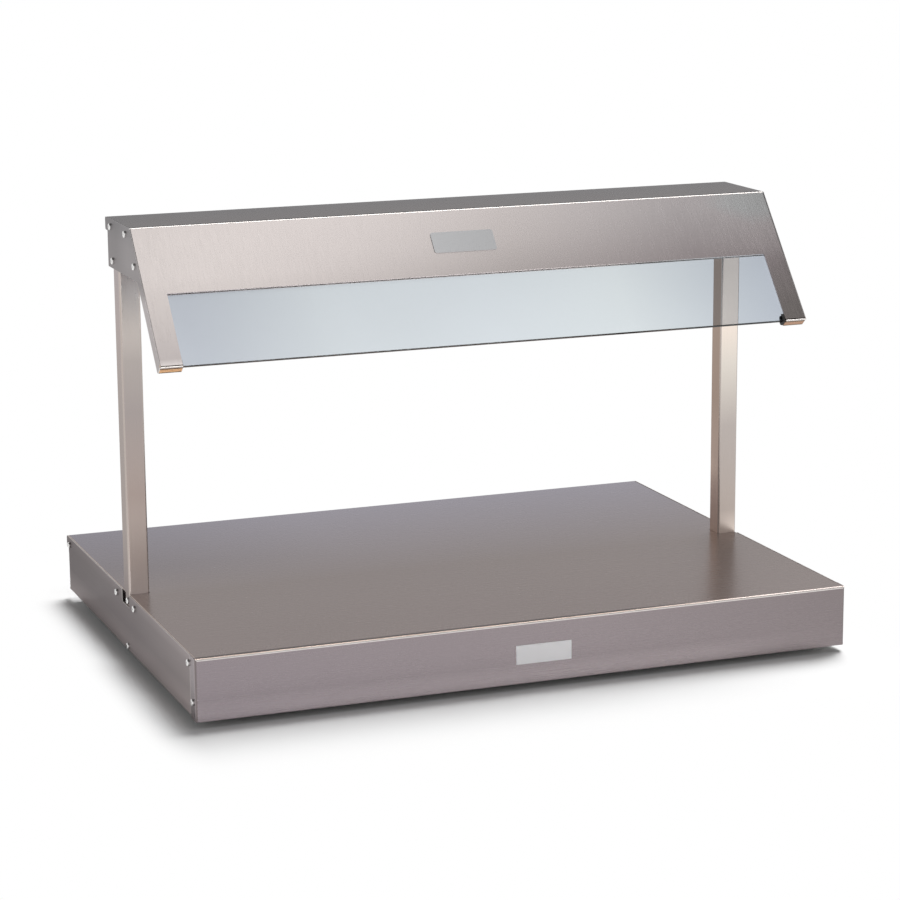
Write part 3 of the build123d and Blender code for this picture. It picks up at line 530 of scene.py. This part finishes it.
def pane_glass():
    """Clear pane with a grey blue tint, painted with reflections palest right of the middle and painted light low
    down, and a dark lower edge, its own dark colour at the left with painted shade darkening it towards the right.
    """
    graph = Surface("pane_glass")
    x, _, z = graph.split(graph.place)
    # Tint painted with reflections, palest right of the middle
    tint = graph.ramp(
        graph.remap(x, *WIDTH),
        [
            (0.06, (0.44, 0.47, 0.52)),
            (0.25, (0.555, 0.595, 0.625)),
            (0.50, (0.62, 0.665, 0.70)),
            (0.72, (0.66, 0.708, 0.73)),
            (0.96, (0.475, 0.515, 0.575)),
        ],
    )
    haze = graph.remap(graph.noise(4.0, 2.0, 0.5), 0.3, 0.7, 0.96, 1.04)
    # Painted light lower on the pane, over a faint haze
    shade = graph.product(haze, graph.remap(z, 0.455, 0.385, 1.0, 1.13))
    tint = graph.scale_colour(tint, shade)
    # Lower edge: the glass's own dark colour, with painted shade darkening it towards the right
    edge = graph.remap(graph.dot(graph.normal, -upslope), 0.05, 0.2)
    right_edge_shade = graph.remap(x, -0.42, 0.10)
    edge_colour = graph.mix(right_edge_shade, (0.10, 0.12, 0.12), (0.002, 0.003, 0.003))
    graph.set("Base Color", graph.mix(edge, tint, edge_colour))
    graph.set("Specular Tint", graph.mix(edge, WHITE, (0.1, 0.1, 0.1)))
    graph.set("Roughness", 0.0)
    graph.set("IOR", 1.5)
    graph.set("Transmission Weight", 1.0)
    return graph.material


def quartz_glass():
    """Lamp tube: warm clear glass, lightly frosted."""
    graph = Surface("quartz_glass")
    frost = graph.noise(700.0)
    shade = graph.remap(frost, 0.3, 0.7, 0.94, 1.0)
    graph.set("Base Color", graph.scale_colour((0.97, 0.90, 0.82), shade))
    graph.set("Roughness", graph.remap(frost, 0.3, 0.7, 0.04, 0.12))
    graph.set("IOR", 1.46)
    graph.set("Transmission Weight", 1.0)
    return graph.material


by_slot = {
    "stainless": base_steel(),
    "canopy_stainless": canopy_steel(),
    "inner_steel": end_steel("inner_steel", (0.42, 0.41, 0.40)),
    "fastener_steel": plain("fastener_steel", (0.80, 0.79, 0.78), 0.22, 1.0, 1500.0),
    "polished_aluminium": plain("polished_aluminium", (0.85, 0.85, 0.85), 0.15, 1.0, 300.0),
    "guard_wire": plain("guard_wire", (0.75, 0.75, 0.75), 0.2, 1.0),
    "glass": pane_glass(),
    "quartz": quartz_glass(),
    "ceramic": plain("ceramic", (0.82, 0.80, 0.74), 0.55),
    "black_rubber": plain("black_rubber", (0.022, 0.021, 0.020), 0.6, scale=1500.0),
    "black_plastic": plain("black_plastic", (0.03, 0.03, 0.03), 0.4, scale=1500.0),
    "red_plastic": plain("red_plastic", (0.45, 0.03, 0.02), 0.25, scale=600.0, relief=0.03),
    "amber_lens": plain("amber_lens", (0.65, 0.22, 0.03), 0.15, scale=600.0, relief=0.03),
    "pale_plastic": plain("pale_plastic", (0.72, 0.71, 0.66), 0.5),
    "silicone_mat": plain("silicone_mat", (0.42, 0.12, 0.05), 0.6),
    "insulation": plain("insulation", (0.62, 0.57, 0.42), 0.9, scale=250.0, relief=0.5),
    "copper_tube": plain("copper_tube", (0.70, 0.40, 0.26), 0.3, 1.0),
    "loom_sleeve": plain("loom_sleeve", (0.52, 0.50, 0.46), 0.7),
    "label_white": plain(
        "label_white", (0.945, 0.93, 0.945), 0.45, scale=3000.0, contrast=0.015, relief=0.01
    ),
    "nameplate_metal": plain(
        "nameplate_metal", (0.62, 0.62, 0.63), 0.3, 1.0, 2000.0, contrast=0.03, relief=0.02
    ),
}
by_node = {
    # Painted light near the floor, stronger on the left plate
    "base_end_left": base_end_steel("left", 1.65),
    "base_end_right": base_end_steel("right", 1.15),
    # Hooks in painted warm reflection colours, lighter on the left
    "canopy_end_left": canopy_end_steel("left", (1.0, 0.70, 0.40)),
    "canopy_end_right": canopy_end_steel("right", (0.57, 0.36, 0.25)),
    "glass_seal": plain("glass_seal", (0.80, 0.79, 0.79), 0.6, scale=1500.0),
    # Light and reflections painted on each post's front and left faces, by height
    "post_left": post_steel(
        "post_left",
        [
            (0.08, (0.86, 0.77, 0.73)),
            (0.12, (0.74, 0.64, 0.59)),
            (0.20, (0.47, 0.385, 0.35)),
            (0.30, (0.42, 0.37, 0.355)),
            (0.36, (0.49, 0.44, 0.415)),
            (0.43, (0.84, 0.76, 0.70)),
            (0.47, (0.78, 0.71, 0.67)),
        ],
        [
            (0.08, (0.37, 0.315, 0.295)),
            (0.16, (0.53, 0.455, 0.415)),
            (0.30, (0.56, 0.485, 0.445)),
            (0.40, (0.64, 0.55, 0.515)),
            (0.47, (0.60, 0.53, 0.52)),
        ],
    ),
    "post_right": post_steel(
        "post_right",
        [
            (0.08, (0.78, 0.67, 0.60)),
            (0.11, (0.49, 0.42, 0.38)),
            (0.22, (0.52, 0.465, 0.435)),
            (0.30, (0.79, 0.73, 0.66)),
            (0.36, (1.0, 0.87, 0.77)),
        ],
        [
            (0.08, (0.80, 0.62, 0.52)),
            (0.13, (0.78, 0.60, 0.50)),
            (0.18, (0.46, 0.355, 0.30)),
            (0.25, (0.40, 0.305, 0.25)),
            (0.47, (0.45, 0.35, 0.29)),
        ],
    ),
}
for entry in frame["record"]["subparts"]:
    name = entry["node"]
    mesh = nodes[name].data
    mesh.materials.clear()
    mesh.materials.append(by_node.get(name, by_slot[entry["material_slot"]]))

# Pieces that the frame doesn't have
ink = plain("ink", (0.03, 0.03, 0.035), 0.5, scale=2000.0)
mark_white = plain("mark_white", (0.85, 0.85, 0.83), 0.45, scale=2000.0)
lip_steel = plain("lip_steel", (0.80, 0.765, 0.74), 0.18, 1.0, 1500.0, 0.03, 0.02)


def add_piece(name, build, body, material):
    """Finished mesh that rides on a body and takes its finish from a slot."""
    bmesh.ops.recalc_face_normals(build, faces=build.faces)
    mesh = bpy.data.meshes.new(name)
    build.to_mesh(mesh)
    build.free()
    mesh.materials.append(material)
    piece = bpy.data.objects.new(name, mesh)
    scene.collection.objects.link(piece)
    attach(piece, body)


def circle(sides):
    return [radians(360 * index / sides) for index in range(sides)]


def join_rings(build, first, second, smooth=False):
    """Band of faces between two closed rings with as many points."""
    for index in range(len(first)):
        after = (index + 1) % len(first)
        face = build.faces.new((first[index], first[after], second[after], second[index]))
        face.smooth = smooth


# Rolled front edges of the hooks
LIP_RADIUS = 0.0009
LIP_SIDES = 16
LIP_DOME = 0.0006
LIP_SHARES = (0.6, 1.0, 1.0)  # of the radius, from each end inward


def add_hook_lip(side):
    lowest, (_, front), (start, end) = hook_face(side)
    up = lowest + HOOK_SHEET - LIP_RADIUS
    centre = up * upslope + (front - LIP_RADIUS / 2) * outward
    near_end = [(start + step * LIP_DOME, share) for step, share in enumerate(LIP_SHARES)]
    far_end = [(end - step * LIP_DOME, share) for step, share in enumerate(LIP_SHARES)]
    build = bmesh.new()
    rings = []
    for x, share in near_end + far_end[::-1]:
        ring = []
        for angle in circle(LIP_SIDES):
            offset = share * LIP_RADIUS * (cos(angle) * outward + sin(angle) * upslope)
            ring.append(build.verts.new(Vector((x, 0, 0)) + centre + offset))
        rings.append(ring)
    for first, second in zip(rings, rings[1:]):
        join_rings(build, first, second, smooth=True)
    build.faces.new(rings[0])
    build.faces.new(rings[-1])
    add_piece(f"hook_lip_{side}", build, "counter", lip_steel)


add_hook_lip("left")
add_hook_lip("right")

# Rubber rim on the right cushion's open end, grooved for the glass
RIM_LENGTH = 0.0022
RIM_GAP = 0.0001
RIM_DEPTH = 0.0120
RIM_HEIGHT = 0.0110
RIM_ROUND = 0.003
RIM_SIDES = 6
RIM_BEVEL = 0.0004
RIM_INSET = 0.0003  # from the hook's outer corner
GROOVE_WIDTH = 0.0056
GROOVE_FLOOR = 0.0020


def rim_profile():
    """Outline of the rim, as pairs of distance outward and distance up the slope."""
    lowest, (rear, _), _ = hook_face("right")
    back = rear - RIM_INSET
    front = back + RIM_DEPTH
    low = lowest + RIM_INSET
    high = low + RIM_HEIGHT
    pane = [vertex.co.dot(outward) for vertex in nodes["glass_pane"].data.vertices]
    groove_front = (min(pane) + max(pane) + GROOVE_WIDTH) / 2
    groove_back = groove_front - GROOVE_WIDTH
    rounds = (
        (90, front - RIM_ROUND, high - RIM_ROUND),
        (0, front - RIM_ROUND, low + RIM_ROUND),
        (-90, back + RIM_ROUND, low + RIM_ROUND),
        (-180, back + RIM_ROUND, high - RIM_ROUND),
    )
    profile = [(groove_front, high)]
    for start, out, up in rounds:
        for step in range(RIM_SIDES + 1):
            angle = radians(start - 90 * step / RIM_SIDES)
            profile.append((out + RIM_ROUND * cos(angle), up + RIM_ROUND * sin(angle)))
    profile.append((groove_back, high))
    profile.append((groove_back, low + GROOVE_FLOOR))
    profile.append((groove_front, low + GROOVE_FLOOR))
    return profile


def add_cushion_rim():
    _, _, (hook_end, _) = hook_face("right")
    start = hook_end - RIM_GAP
    build = bmesh.new()
    rings = []
    for x in (start, start - RIM_LENGTH):
        flat = [out * outward + up * upslope for out, up in rim_profile()]
        rings.append([build.verts.new(Vector((x, 0, 0)) + point) for point in flat])
    join_rings(build, *rings, smooth=True)
    caps = [build.faces.new(ring) for ring in rings]
    edges = [edge for cap in caps for edge in cap.edges]
    bmesh.ops.bevel(
        build, geom=edges, offset=RIM_BEVEL, segments=2, affect="EDGES", profile=0.5
    )
    add_piece("cushion_rim", build, "counter", by_slot["black_rubber"])


add_cushion_rim()

# Printed marks: a raised line of even width, or a number, on a flat face
PRINT = 0.00012
REARWARD = (0, 1, 0)
UPWARD = (0, 0, 1)


class Face:
    """Flat face given by a point, its outward direction and its upward direction."""

    def __init__(self, origin, out, upward):
        self.origin = Vector(origin)
        self.out = Vector(out)
        self.upward = Vector(upward)
        self.right = self.upward.cross(self.out)

    def point(self, flat, height):
        aside = flat[0] * self.right
        return self.origin + aside + flat[1] * self.upward + height * self.out


def add_stroke(build, face, points, width, closed=False):
    count = len(points)
    sections = []
    for index, point in enumerate(points):
        before = points[index - 1] if index or closed else point
        after = points[(index + 1) % count] if index + 1 < count or closed else point
        forward = (after - before).normalized()
        across = Vector((-forward.y, forward.x)) * width / 2
        corners = ((-across, 0), (across, 0), (across, PRINT), (-across, PRINT))
        spots = [face.point(point + aside, height) for aside, height in corners]
        sections.append([build.verts.new(spot) for spot in spots])
    following = sections[1:] + sections[:1] if closed else sections[1:]
    for first, second in zip(sections, following):
        join_rings(build, first, second)
    if not closed:
        build.faces.new(sections[0])
        build.faces.new(sections[-1])


def add_number(build, face, number, centre, size):
    curve = bpy.data.curves.new("number", "FONT")
    curve.body = str(number)
    curve.size = size
    curve.align_x = "CENTER"
    curve.align_y = "CENTER"
    curve.extrude = PRINT / 2
    holder = bpy.data.objects.new("number", curve)
    flat = bpy.data.meshes.new_from_object(holder)
    start = len(build.verts)
    build.from_mesh(flat)
    build.verts.ensure_lookup_table()
    for vertex in build.verts[start:]:
        vertex.co = face.point(centre + vertex.co.xy, vertex.co.z + PRINT / 2)
    bpy.data.objects.remove(holder)
    bpy.data.curves.remove(curve)
    bpy.data.meshes.remove(flat)


# Dial on the rear panel: ticks and the numbers 0 to 9 over the knob's turn
TICK_START = 0.0205
TICK_LONG = 0.0035
TICK_SHORT = 0.002
TICK_WIDTH = 0.0006
NUMBER_RADIUS = 0.0275
NUMBER_SIZE = 0.0058
DIAL_NUMBERS = 10
turn = joints["thermostat_turn"]


def add_dial_scale():
    dial = Face(turn["pos_m"], REARWARD, UPWARD)
    build = bmesh.new()
    for index in range(2 * DIAL_NUMBERS - 1):
        angle = radians(turn["range_deg"][1] * index / (2 * DIAL_NUMBERS - 2))
        ray = Vector((sin(angle), cos(angle)))
        length = TICK_SHORT if index % 2 else TICK_LONG
        add_stroke(build, dial, [TICK_START * ray, (TICK_START + length) * ray], TICK_WIDTH)
        if index % 2 == 0:
            add_number(build, dial, index // 2, NUMBER_RADIUS * ray, NUMBER_SIZE)
    add_piece("dial_scale", build, "counter", ink)


add_dial_scale()

# White line on the knob's pointer bar
POINTER_START = 0.003
POINTER_END = 0.013
POINTER_WIDTH = 0.0014


def add_pointer_line():
    x, _, z = turn["pos_m"]
    front = Face((x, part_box("thermostat_knob")[1][1], z), REARWARD, UPWARD)
    line = [Vector((0, POINTER_START)), Vector((0, POINTER_END))]
    build = bmesh.new()
    add_stroke(build, front, line, POINTER_WIDTH)
    add_piece("knob_pointer_line", build, "knob", mark_white)


add_pointer_line()

# On and off marks on the finger pads of the two rockers
MARK_HALF = 0.0022
MARK_WIDTH = 0.0008
MARK_SIDES = 24
PAD_AREA = 0.00005
PAD_FACING = 0.8


def finger_pads(node):
    """The rocker's two pads, as flat faces, the lower one first."""
    pads = {}
    for polygon in nodes[node].data.polygons:
        if polygon.normal.y > PAD_FACING and polygon.area > PAD_AREA:
            pads.setdefault(round(polygon.normal.z, 2), []).append(polygon)
    faces = []
    for polygons in pads.values():
        middle = sum((polygon.center for polygon in polygons), Vector()) / len(polygons)
        out = polygons[0].normal.copy()
        faces.append(Face(middle, out, (Vector(UPWARD) - out.z * out).normalized()))
    return sorted(faces, key=lambda face: face.origin.z)


def add_switch_marks(node, body):
    lower, upper = finger_pads(node)
    ring = [
        Vector((MARK_HALF * cos(angle), MARK_HALF * sin(angle))) for angle in circle(MARK_SIDES)
    ]
    bar = [Vector((0, -MARK_HALF)), Vector((0, MARK_HALF))]
    build = bmesh.new()
    add_stroke(build, lower, ring, MARK_WIDTH, closed=True)
    add_stroke(build, upper, bar, MARK_WIDTH)
    add_piece(node.replace("rocker", "marks"), build, body, mark_white)


add_switch_marks("switch_rocker_base", "base_rocker")
add_switch_marks("switch_rocker_lamps", "lamp_rocker")

# Floor: keeps the shadow round the base and fades into a white backdrop
FLOOR_HALF = 40
FLOOR_COLOUR = (0.96, 0.96, 0.96)
FADE_SIDE = 0.06
FADE_FRONT = 0.18


def make_floor():
    graph = Surface("floor")
    graph.set("Base Color", FLOOR_COLOUR)
    graph.set("Roughness", 1.0)
    graph.set("Specular IOR Level", 0.0)
    x, y, _ = graph.split(graph.place)
    squares = []
    for place, reach, width in ((x, cad_box[1][0], FADE_SIDE), (y, cad_box[1][1], FADE_FRONT)):
        past = graph.math("SUBTRACT", graph.math("ABSOLUTE", place), reach)
        step = graph.math("DIVIDE", graph.math("MAXIMUM", past, 0.0), width)
        squares.append(graph.product(step, step))
    fade = graph.add("MapRange", interpolation_type="SMOOTHSTEP")
    graph.link(graph.math("SQRT", graph.math("ADD", *squares)), fade.inputs["Value"])
    white = graph.add("Emission")
    white.inputs["Strength"].default_value = 1.0
    white.inputs["Color"].default_value = (*WHITE, 1)
    cover = graph.add("MixShader")
    graph.link(graph.product(fade.outputs["Result"], graph.seen_rays()), cover.inputs["Fac"])
    graph.link(graph.shader.outputs["BSDF"], cover.inputs[1])
    graph.link(white.outputs["Emission"], cover.inputs[2])
    output = graph.tree.nodes["Material Output"]
    graph.link(cover.outputs["Shader"], output.inputs["Surface"])
    mesh = bpy.data.meshes.new("floor")
    build = bmesh.new()
    bmesh.ops.create_grid(build, x_segments=1, y_segments=1, size=FLOOR_HALF)
    build.to_mesh(mesh)
    build.free()
    mesh.materials.append(graph.material)
    floor = bpy.data.objects.new("floor", mesh)
    scene.collection.objects.link(floor)


make_floor()

# Studio: white round the horizon, a darker ceiling, and less of it as diffuse light
SKY_WHITE_TO = 0.30
SKY_DARK_FROM = 0.80
CEILING_COLOUR = (0.13, 0.13, 0.13)
DIFFUSE_LEVEL = 0.5


def make_studio():
    world = bpy.data.worlds.new("studio")
    scene.world = world
    world.use_nodes = True
    sky = Graph(world.node_tree)
    background = sky.tree.nodes["Background"]
    _, _, height = sky.split(sky.add("TexCoord").outputs["Generated"])
    colour = sky.ramp(height, [(SKY_WHITE_TO, WHITE), (SKY_DARK_FROM, CEILING_COLOUR)])
    sky.link(colour, background.inputs["Color"])
    level = sky.remap(sky.seen_rays(), 0.0, 1.0, DIFFUSE_LEVEL, 1.0)
    sky.link(level, background.inputs["Strength"])


make_studio()


# Lights
def add_light(kind, name, place, target, energy):
    data = bpy.data.lights.new(name, kind)
    data.energy = energy
    lamp = bpy.data.objects.new(name, data)
    lamp.location = place
    lamp.rotation_mode = "QUATERNION"
    lamp.rotation_quaternion = (Vector(target) - Vector(place)).to_track_quat("-Z", "Y")
    scene.collection.objects.link(lamp)
    return lamp


# Key from behind right: most of it only lights, and a share also shows in the metal
KEY_ELEVATION = radians(58)
KEY_AZIMUTH = radians(45)
KEY_DISTANCE = 3
KEY_SPREAD = radians(32)
KEY_ENERGY = 1.85
SHINE_ENERGY = 1.25


def add_key(name, energy, shows):
    level = cos(KEY_ELEVATION)
    toward = Vector((level * sin(KEY_AZIMUTH), level * cos(KEY_AZIMUTH), sin(KEY_ELEVATION)))
    key = add_light("SUN", name, KEY_DISTANCE * toward, (0, 0, 0), energy)
    key.data.angle = KEY_SPREAD
    key.visible_glossy = shows


add_key("key", KEY_ENERGY, False)
add_key("key_shine", SHINE_ENERGY, True)

# Overhead panel, bright at the left and fading to the right
PANEL_X = 0.6
PANEL_Y = -0.75
PANEL_HEIGHT = 2.2
PANEL_WIDTH = 1.9
PANEL_DEPTH = 1.0
PANEL_ENERGY = 6.5
PANEL_ACROSS = [(0.0, BLACK), (0.18, WHITE), (0.26, WHITE), (1.0, BLACK)]
PANEL_ALONG = [(0.0, BLACK), (0.25, WHITE), (0.75, WHITE), (1.0, BLACK)]


def add_panel():
    place = (PANEL_X, PANEL_Y, PANEL_HEIGHT)
    panel = add_light("AREA", "panel", place, (PANEL_X, PANEL_Y, 0), PANEL_ENERGY).data
    panel.shape = "RECTANGLE"
    panel.size = PANEL_WIDTH
    panel.size_y = PANEL_DEPTH
    panel.use_nodes = True
    glow = Graph(panel.node_tree)
    x, y, _ = glow.split(glow.add("NewGeometry").outputs["Parametric"])
    across = glow.ramp(x, PANEL_ACROSS, "EASE")
    along = glow.ramp(y, PANEL_ALONG, "EASE")
    glow.link(glow.product(across, along), glow.tree.nodes["Emission"].inputs["Strength"])


add_panel()

scene.view_settings.view_transform = "Standard"
